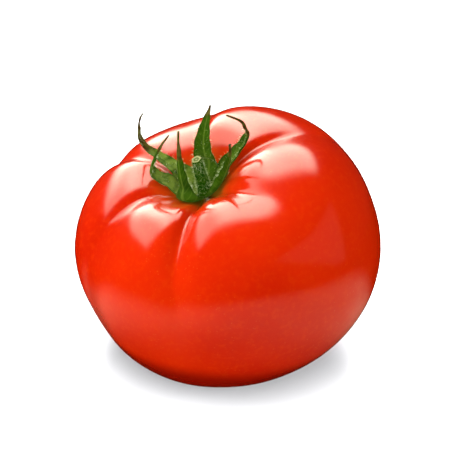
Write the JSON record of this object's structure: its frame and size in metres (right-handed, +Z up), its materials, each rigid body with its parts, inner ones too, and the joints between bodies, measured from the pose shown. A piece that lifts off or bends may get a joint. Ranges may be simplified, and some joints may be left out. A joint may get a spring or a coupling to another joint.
{
  "type": "tomato",
  "caption": "Ripe ribbed tomato, glossy red, with a green star-shaped calyx and a short cut stem, leaning on a small flat spot; a fresh vegetable for kitchen and table scenes.",
  "frame": {"origin": "middle of the flat spot that the tomato rests on", "axes": "+Z up from the surface, -Y towards the viewer of the picture, +X to that viewer's right; the fruit's own stem axis leans to the front left"},
  "size_m": [0.0882, 0.0835, 0.0809],
  "materials": {
    "skin": "glossy thin tomato skin, scarlet, a little orange round the stem, with fine pale specks",
    "calyx_green": "soft leaf green with fine hairs, veins and dry brown tips",
    "stem_green": "ribbed hairy green stem with a pale cut end"
  },
  "bodies": {
    "root": {"fruit": "skin", "calyx": "calyx_green", "stem": "stem_green"}
  },
  "joints": []
}
